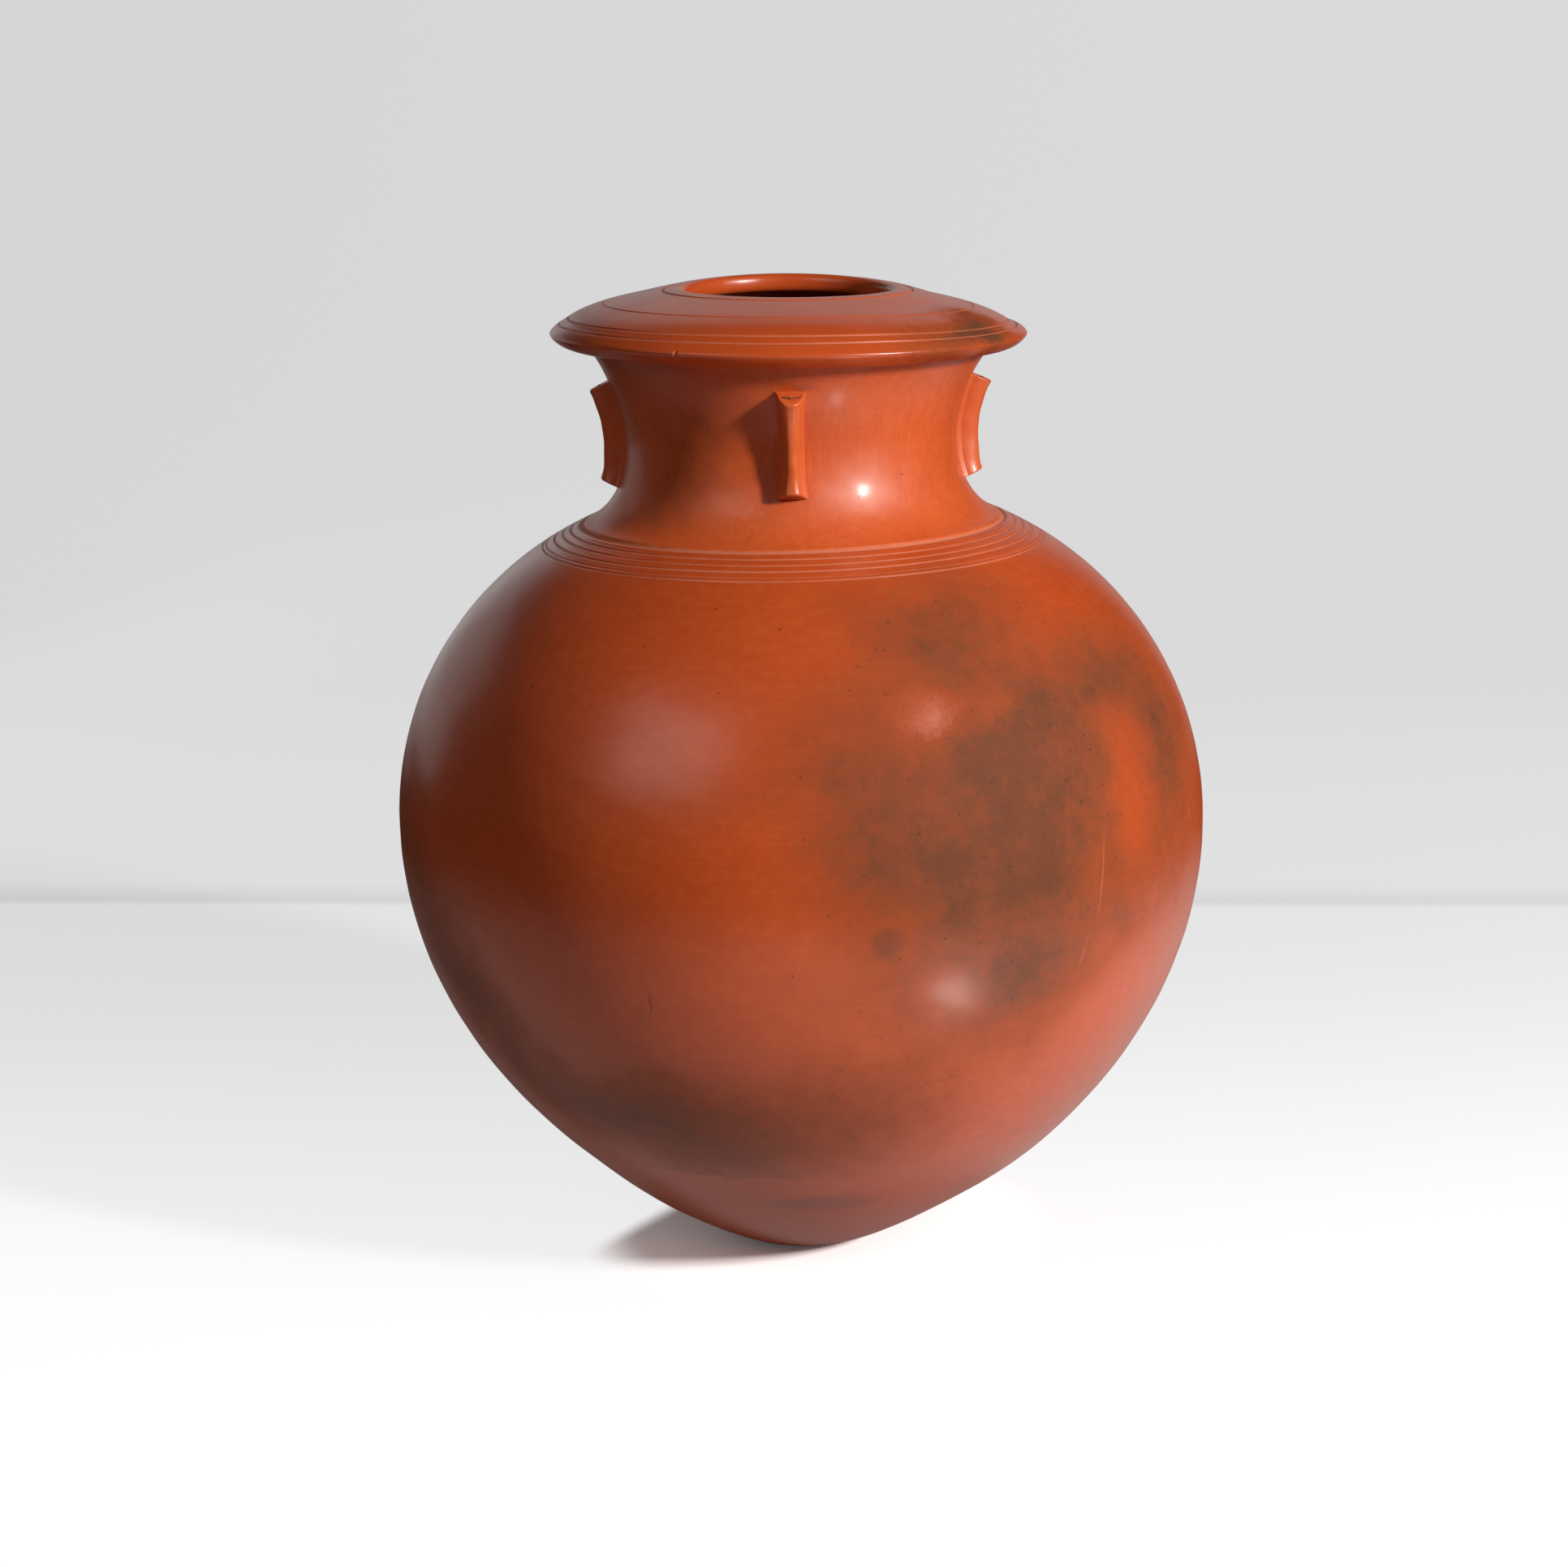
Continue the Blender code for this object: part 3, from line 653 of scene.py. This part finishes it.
# a small chip in the nose: half sizes, depth, place below the nose, and its rim and bow in half sizes
chip = {
    "azimuth": -26.8, "wide": .0011, "tall": .0016, "deep": .0007, "below": .0004,
    "rim": 1.2, "soft": .5, "bow": .35, "rise": .2, "reach": 2.6, "columns": 41,
}
lip = np.array(collarShape["lip"])
halfNose = up * collarShape["nose"] / 2
underEnd, domeStart = lip - halfNose, lip + halfNose
throatRound = collarShape["throatRound"]
throatX = collarShape["mouthRadius"] + throatRound
crest = np.array([throatX + collarShape["crestFlat"], lip[1] + collarShape["crestRise"]])
under = curve(neckTop, neckTop + ray(collarShape["seatSlope"]) * collarShape["seatPull"],
              underEnd + ray(180 + collarShape["underSlope"]) * collarShape["underPull"], underEnd)
dome = curve(domeStart, domeStart + ray(180 - collarShape["domeSlope"]) * collarShape["domePull"],
             crest + ray(-collarShape["crestSlope"]) * collarShape["crestPull"], crest)
roundTop = arc(np.array([throatX, crest[1] - throatRound]), throatRound, 90, 180)
roundLow = arc(np.array([throatX, crest[1] - collarShape["throatDepth"] + throatRound]),
               throatRound, 180, 270)
seatIn = neckTop - wallOut[-1] * outline["thick"]
hollow = (dome - outward(dome) * outline["thick"])[::-1]
hollow = hollow[(hollow[:, 0] > throatX) & (hollow[:, 0] < seatIn[0])]
nosePlace = runOf(under)[-1] + collarShape["nose"] / 2
crestPlace = nosePlace + runOf(dome)[-1]


def rubbedNose(chain):  # near the nose the chain gives way to its own running mean, weighted by exp(-x^2 / 2)
    run = np.arange(0, runOf(chain)[-1], collarShape["smoothStep"])
    chain = pick(chain, run, runOf(chain))
    count = collarShape["smoothCount"]
    x = np.arange(-count, count + 1) * collarShape["smoothStep"] / collarShape["noseRound"]
    kernel = np.exp(-.5 * x**2)
    soft = np.column_stack([np.convolve(np.pad(chain[:, k], count, "edge"), kernel / kernel.sum(), "valid")
                            for k in (0, 1)])
    share = np.exp(-((run - nosePlace) / collarShape["noseReach"])**4)[:, None]
    return chain * (1 - share) + soft * share


def chipMask(places, turn):  # 1 inside a bowed oval on the nose, easing to 0 over its soft rim
    x = (turn - math.radians(chip["azimuth"])) * lip[0] / chip["wide"]
    y = (places - nosePlace + chip["below"]) / chip["tall"]
    far = np.hypot(x[None, :], y[:, None] + chip["bow"] * x[None, :]**2 - chip["rise"])
    return ease((chip["rim"] - far) / chip["soft"])


def collarTurns():  # even columns, and closer ones across the chip
    middle = math.radians(chip["azimuth"])
    near = middle + np.linspace(-1, 1, chip["columns"]) * chip["reach"] * chip["wide"] / lip[0]
    turn = np.linspace(0, 2 * np.pi, collarShape["columns"], endpoint=False) - np.pi
    return np.sort(np.concatenate([turn[np.abs(turn - middle) > np.ptp(near) * .55], near]))


def collarGrid():
    # outer chain less the depth of rings and chip along its normal, then the lining, turned and made uneven
    outer, turn = rubbedNose(chainOf(under, dome, roundTop)), collarTurns()
    run = runOf(outer)
    marks = [{**ring, "at": nosePlace + ring["in"]} for ring in collarRings]
    marks.append({**mouthRing, "at": crestPlace - mouthRing["fromCrest"]})
    places = spacing(0, run[-1], collarShape["step"], [mark["at"] for mark in marks] + [nosePlace])
    depth, cut = incised(places, turn, marks)
    chipped = chipMask(places, turn)
    depth = depth + chip["deep"] * chipped
    way = pick(outward(outer), places, run)
    section = pick(outer, places, run)[:, None, :] - way[:, None, :] * depth[..., None]
    lining = chainOf(roundLow, hollow, seatIn[None, :])
    lining = pick(lining, np.linspace(0, runOf(lining)[-1], collarShape["liningRows"]), runOf(lining))
    section = np.concatenate([section, np.repeat(lining[:, None, :], len(turn), axis=1)])
    pad = np.zeros((len(lining), len(turn)))
    shade = ease(np.linspace(0, collarShape["insideRise"], len(lining)))[:, None]
    inside = np.concatenate([np.zeros(cut.shape), pad + shade])
    cut = np.concatenate([np.maximum(cut, chipped), pad])
    return handMade(turned(section, turn)), {"cut": cut, "inside": inside}


grid, marks = collarGrid()
addPiece("domedCollar", grid, gridNormals(grid, True), marks, collarClay, "collar")


# Cord lugs: a rolled tube of clay pressed on the neck, pierced from end to end

lugShape = {
    "reachUp": .030, "reachDown": .020,  # along the neck from its waist
    "tube": .0049, "flare": .0013, "flareSharp": 2.4,  # half width, and how much wider the ends are
    "height": .0098, "footLess": .0010, "footShare": .4,  # how far it stands off, less over its foot
    "lip": .0005, "lipReach": .0025,  # a lip on top
    "flange": .0011, "flangeTall": .0010, "sink": .0005,
    "boxTall": .90, "boxWide": .84, "pinch": .06, "pinchTall": .45,  # squareness, and a pinch at the neck
    "endRound": .0013, "endLeast": .00025,
    "tunnelHalf": .0039, "tunnelTall": .0010, "tunnelLift": .0042, "tunnelSag": .0010,
    "tunnelFlare": .10, "flareReach": .0003,  # a little wider at both mouths
    "ragged": ((.10, 5, 1), (.08, 9, 2.3)),  # of the tunnel's height: share, turns, phase
    "tunnelFrom": .004, "tunnelRows": 10, "columns": 144, "rows": 84,
}
fingerMark = {
    "wave": .00010, "waveAcross": 900, "waveAlong": 5, "sway": .00008, "swayAlong": 23,
    "fold": .00007, "folds": ((-.00236, .0012, .00035), (.0030, -.0075, .00030)),  # place, slant, half width
    "foldGone": .42, "foldFull": .07, "face": .004,  # shares of the length, height of the face
}
lugEnds = np.array([0, .0001, .00025, .00045, .0007, .001, .0014, .0018, .0023])  # close rows at both ends
tunnelEnds = np.array([.00002, .0003, .001])
lugLength = lugShape["reachUp"] + lugShape["reachDown"]
lugs = (  # name, node, azimuth, how far each sits above its true place and how far it stands off
    ("lugFront", "lug_front", 0, .0016, 1.08), ("lugRight", "lug_right", 90, -.0008, 1),
    ("lugBack", "lug_back", 180, .0008, 1), ("lugLeft", "lug_left", 270, -.0022, 1),
)


def lugSection(half, height):
    # half a tube standing on a thin flange: the width is a rounded box of the height off the neck,
    # plus a flange that dies away as exp(-(v / flangeTall)^2)
    turn = np.linspace(0, np.pi, lugShape["columns"] * 3 // 4)
    v = -lugShape["sink"] + (height + lugShape["sink"]) * np.sin(turn)**lugShape["boxTall"]
    pinched = 1 - lugShape["pinch"] * np.clip(1 - v / (lugShape["pinchTall"] * height), 0, 1)**2
    side = np.sign(np.cos(turn))
    u = half * side * np.abs(np.cos(turn))**lugShape["boxWide"] * pinched
    u = u + side * lugShape["flange"] * np.exp(-(np.maximum(v, 0) / lugShape["flangeTall"])**2)
    base = np.linspace(u[-1], u[0], lugShape["columns"] // 4 + 2)[1:-1]
    return np.column_stack([np.append(u, base), np.append(v, np.full(len(base), -lugShape["sink"]))])


def fingerMarks(u, v, share, seed):
    # two slow waves, and slanting folds exp(-x^2) near the foot, all fading in towards the outer face
    wave = fingerMark["wave"] * np.sin(u * fingerMark["waveAcross"] + seed + share * fingerMark["waveAlong"])
    wave = wave + fingerMark["sway"] * np.sin(share * fingerMark["swayAlong"] + 2 * seed)
    folds = sum(np.exp(-((u - across - slant * share) / wide)**2)
                for across, slant, wide in fingerMark["folds"])
    folds = folds * fade(share, fingerMark["foldGone"], fingerMark["foldFull"])
    return (wave + fingerMark["fold"] * folds) * ease(v / fingerMark["face"])


def lugOuter(run, stout, seed):
    # a section at each place along the lug, wider at both ends and lower at its foot,
    # drawn in by a quarter round r - sqrt(r^2 - (r - gap)^2) at both ends
    share = run / lugLength
    half = lugShape["tube"] + lugShape["flare"] * np.abs(2 * share - 1)**lugShape["flareSharp"]
    tall = lugShape["height"] - lugShape["footLess"] * fade(share, lugShape["footShare"], 0)
    tall = tall + lugShape["lip"] * np.exp(-(lugLength - run) / lugShape["lipReach"])
    sections = np.stack([lugSection(width, off) for width, off in zip(half, tall * stout)])
    step = np.roll(sections, -1, axis=1) - np.roll(sections, 1, axis=1)
    normal = np.stack([step[..., 1], -step[..., 0]], axis=-1)
    normal /= np.maximum(np.linalg.norm(normal, axis=-1, keepdims=True), 1e-9)
    u, v = sections[..., 0], sections[..., 1]
    least = lugShape["endLeast"]
    corner = least + (lugShape["endRound"] - least) * ease(v / lugShape["height"])
    gap = np.minimum(np.minimum(run, lugLength - run)[:, None], corner)
    inset = corner - np.sqrt(np.maximum(corner**2 - (corner - gap)**2, 0))
    return sections - normal * (inset - fingerMarks(u, v, share[:, None], seed))[..., None]


def lugTunnel(run, seed):  # a ragged, sagging slit at each place, a little wider at both mouths
    theta = np.linspace(0, 2 * np.pi, lugShape["columns"], endpoint=False)
    ragged = 1 + sum(size * np.sin(turns * theta + phase * seed) for size, turns, phase in lugShape["ragged"])
    u = lugShape["tunnelHalf"] * np.cos(theta)
    v = lugShape["tunnelLift"] + lugShape["tunnelSag"] * np.sin(theta)**2
    v = v + lugShape["tunnelTall"] * np.sin(theta) * ragged
    wide = 1 + lugShape["tunnelFlare"] * np.exp(-np.minimum(run, lugLength - run) / lugShape["flareReach"])
    return np.stack(np.broadcast_arrays(wide[:, None] * u, v), axis=-1)


def lugGrid(turn, lift, stout, seed):
    # the outer rows up the neck and the tunnel's rows back, laid across the wall
    middle = np.linspace(lugEnds[-1], lugLength - lugEnds[-1], lugShape["rows"])
    out = np.unique(np.concatenate([lugEnds, lugLength - lugEnds, middle]))
    inner = np.linspace(lugLength - lugShape["tunnelFrom"], lugShape["tunnelFrom"], lugShape["tunnelRows"])
    back = np.concatenate([lugLength - tunnelEnds, inner, tunnelEnds[::-1]])
    every = np.concatenate([lugOuter(out, stout, seed), lugTunnel(back, seed)])
    places = waistPlace - lugShape["reachDown"] + lift + np.concatenate([out, back])
    way = pick(wallOut, places, wallRun)
    spot = pick(wall, places, wallRun)[:, None, :] + way[:, None, :] * every[..., 1:2]
    bored = np.zeros(spot.shape[:2])
    bored[len(out) + 1:-1] = 1
    return handMade(turned(spot, turn + every[..., 0] / spot[..., 0])), bored


for count, (name, node, degrees, lift, stout) in enumerate(lugs):
    grid, bored = lugGrid(math.radians(degrees), lift, stout, 1.3 * count)
    marks = {"cut": bored * 0, "inside": bored}
    addPiece(name, grid, gridNormals(grid, True), marks, lugClay, node)


# Stage: a pale floor that sweeps up far behind

stage = {
    "halfWidth": 3.4, "front": -3.2, "back": 2.2, "bend": .9, "tall": 2.6,
    "tone": grey(.50), "dark": grey(.02),
    "seenTone": grey(1.9),  # as the eye sees it, so that its lit part comes out white
    "nearGlow": grey(1.0), "farGlow": grey(.77), "nearEnd": -.25,
    "edgeLine": grey(.64), "lowWall": grey(.735), "wallGlow": grey(.670), "wallRise": (.9, 2.2),
    "tableEdge": .583, "edgeSlope": .09, "edgeSoft": .06, "edgeSharp": .01,  # where the floor meets the wall
    "glowShare": .86, "footShare": .06, "footNear": .085, "footFar": .120,  # its own glow, less at the foot
    "shadeSlope": .67, "shadeEnd": (.080, .098),  # the foot's shade ends at a slanting line
    "glossDim": .08, "glossLit": .80, "glossWall": .65,  # what the clay's gloss sees
    "litSlope": .6, "litRise": (-.10, .45), "paperEnd": (.95, .50),
    "wallDepth": (1.0, 1.8), "wallSide": (1.3, .7),
}
studio = {
    "target": (0, 0, .27),
    "key": {"way": (.710, -.606, .365), "far": 2.5, "wide": .19, "tall": .34, "watts": 66},
    "front": {"way": (.640, -.466, .611), "far": 2.6, "wide": .80, "tall": .80, "watts": 7.2},
    "fill": {"way": (-.538, -.622, .569), "far": 2.2, "wide": 1.1, "tall": 1.1, "watts": 6.4},
    "rim": {"way": (-.60, .76, .17), "far": 1.6, "wide": 1.2, "tall": .8, "watts": 1.4},
    "glint": {"at": (.224, -.330, .003), "wide": .070, "watts": .25},
    "roomTone": grey(.030), "backTone": grey(.70),
}


def sweptFloor():
    # floor line, quarter circle and wall line carried sideways
    bendCentre = np.array([stage["back"] - stage["bend"], stage["bend"]])
    line = chainOf(np.array([[stage["front"], 0.0], [0.0, 0.0], [bendCentre[0], 0.0]]),
                   arc(bendCentre, stage["bend"], -90, 0, 33), np.array([[stage["back"], stage["tall"]]]))
    side = np.linspace(-1, 1, 9) * stage["halfWidth"]
    grid = np.stack(np.broadcast_arrays(side[None, :], line[:, :1], line[:, 1:]), axis=-1)
    rows, cols = grid.shape[:2]
    index = np.arange(rows * cols).reshape(rows, cols)
    faces = np.stack([index[:-1, :-1], index[:-1, 1:], index[1:, 1:], index[1:, :-1]], axis=-1).reshape(-1, 4)
    mesh = bpy.data.meshes.new("paleFloor")
    mesh.from_pydata(grid.reshape(-1, 3).tolist(), [], faces.tolist())
    mesh.shade_smooth()
    piece = bpy.data.objects.new("paleFloor", mesh)
    bpy.context.scene.collection.objects.link(piece)
    return piece


def floorGlow(side, depth):
    # pale floor that dims towards its far edge, a thin grey line there, and the wall behind
    ahead = depth + side * stage["edgeSlope"]
    edge = stage["tableEdge"]
    floor = ahead.step(stage["nearEnd"], edge).blend(stage["nearGlow"], stage["farGlow"])
    behind = ahead.step(*stage["wallRise"]).blend(stage["lowWall"], stage["wallGlow"])
    behind = ahead.step(edge, edge + stage["edgeSoft"]).blend(stage["edgeLine"], behind)
    return ahead.step(edge - stage["edgeSharp"], edge + stage["edgeSharp"]).blend(floor, behind)


def floorPaint():
    # white paper: a share of plain glow for what the eye and the gloss see, the rest takes light and shadow
    material = bpy.data.materials.new("paperWhite")
    material.use_nodes = True
    tree = material.node_tree
    tree.nodes.clear()
    rays = Wire(tree).node("ShaderNodeLightPath", {}, {}, "Is Camera Ray")
    glossy = rays.node("ShaderNodeLightPath", {}, {}, "Is Glossy Ray")
    seeThrough = rays.node("ShaderNodeLightPath", {}, {}, "Is Transmission Ray")
    place = rays.node("ShaderNodeTexCoord", {}, {}, "Object")
    side = rays.node("ShaderNodeSeparateXYZ", {}, {"Vector": place}, "X")
    depth = rays.node("ShaderNodeSeparateXYZ", {}, {"Vector": place}, "Y")
    far = rays.node("ShaderNodeVectorMath", {"operation": "LENGTH"}, {0: place}, "Value")
    litSide = (side - depth * stage["litSlope"]).step(*stage["litRise"])  # the lamps stand to the front right
    paper = far.step(*stage["paperEnd"])  # past the paper the room is dark
    backWall = depth.step(*stage["wallDepth"]) * side.math("ABSOLUTE", side).step(*stage["wallSide"])
    gloss = litSide * paper * stage["glossLit"] + backWall * stage["glossWall"] + paper * stage["glossDim"]
    past = (depth * stage["shadeSlope"] - side).step(*stage["shadeEnd"])
    away = 1 - (1 - far.step(stage["footNear"], stage["footFar"])) * (1 - past)
    share = away * (stage["glowShare"] - stage["footShare"]) + stage["footShare"]
    seen = (rays + seeThrough) * share + glossy * gloss * away
    tone = rays.blend(paper.blend(stage["dark"], stage["tone"]), stage["seenTone"])
    plain = rays.node("ShaderNodeBsdfDiffuse", {}, {"Color": tone})
    bright = rays.node("ShaderNodeEmission", {}, {"Color": floorGlow(side, depth), "Strength": 1.0})
    mixed = rays.node("ShaderNodeMixShader", {}, {0: seen, 1: plain, 2: bright})
    mixed.node("ShaderNodeOutputMaterial", {}, {"Surface": mixed})
    return material


def addLamp(name, lamp, shape):  # a lamp that the eye doesn't see
    light = bpy.data.lights.new(name, "AREA")
    light.shape, light.size, light.size_y = shape, lamp["wide"], lamp.get("tall", lamp["wide"])
    light.energy = lamp["watts"]
    holder = bpy.data.objects.new(name, light)
    holder.visible_camera = False
    bpy.context.scene.collection.objects.link(holder)
    return holder


def roomWorld():  # dim even room light, and a pale grey where the eye looks past the floor
    world = bpy.data.worlds.new("room")
    world.use_nodes = True
    tree = world.node_tree
    tree.nodes.clear()
    seen = Wire(tree).node("ShaderNodeLightPath", {}, {}, "Is Camera Ray")
    tone = seen.blend(studio["roomTone"], studio["backTone"])
    glow = seen.node("ShaderNodeBackground", {}, {"Color": tone, "Strength": 1.0})
    glow.node("ShaderNodeOutputWorld", {}, {"Surface": glow})
    bpy.context.scene.world = world


sweptFloor().data.materials.append(floorPaint())
for lampName in ("key", "front", "fill", "rim"):  # each faces the target from its own side
    way = Vector(studio[lampName]["way"]).normalized()
    holder = addLamp(lampName, studio[lampName], "RECTANGLE")
    holder.location = Vector(studio["target"]) + way * studio[lampName]["far"]
    holder.rotation_euler = way.to_track_quat("Z", "Y").to_euler()
glint = addLamp("glint", studio["glint"], "DISK")  # the polished floor throws a spot of light back up
glint.location = studio["glint"]["at"]
glint.rotation_euler = (math.pi, 0, 0)
roomWorld()
print("stage, lamps and room")


# Camera at the photograph's viewing angle

view = {
    "at": (-.0105, -1.5, .5842), "down": 13.53, "roll": -1.27,
    "lens": 74.51, "sensor": 36.0, "nearest": .01,
}
eye = bpy.data.cameras.new("camera")
eye.lens, eye.sensor_width, eye.clip_start = view["lens"], view["sensor"], view["nearest"]
camera = bpy.data.objects.new("camera", eye)
camera.matrix_world = (Matrix.Translation(view["at"])
                       @ Matrix.Rotation(math.radians(90 - view["down"]), 4, "X")
                       @ Matrix.Rotation(math.radians(view["roll"]), 4, "Z"))
bpy.context.scene.collection.objects.link(camera)
bpy.context.scene.camera = camera
bpy.context.scene.view_settings.view_transform = "Standard"
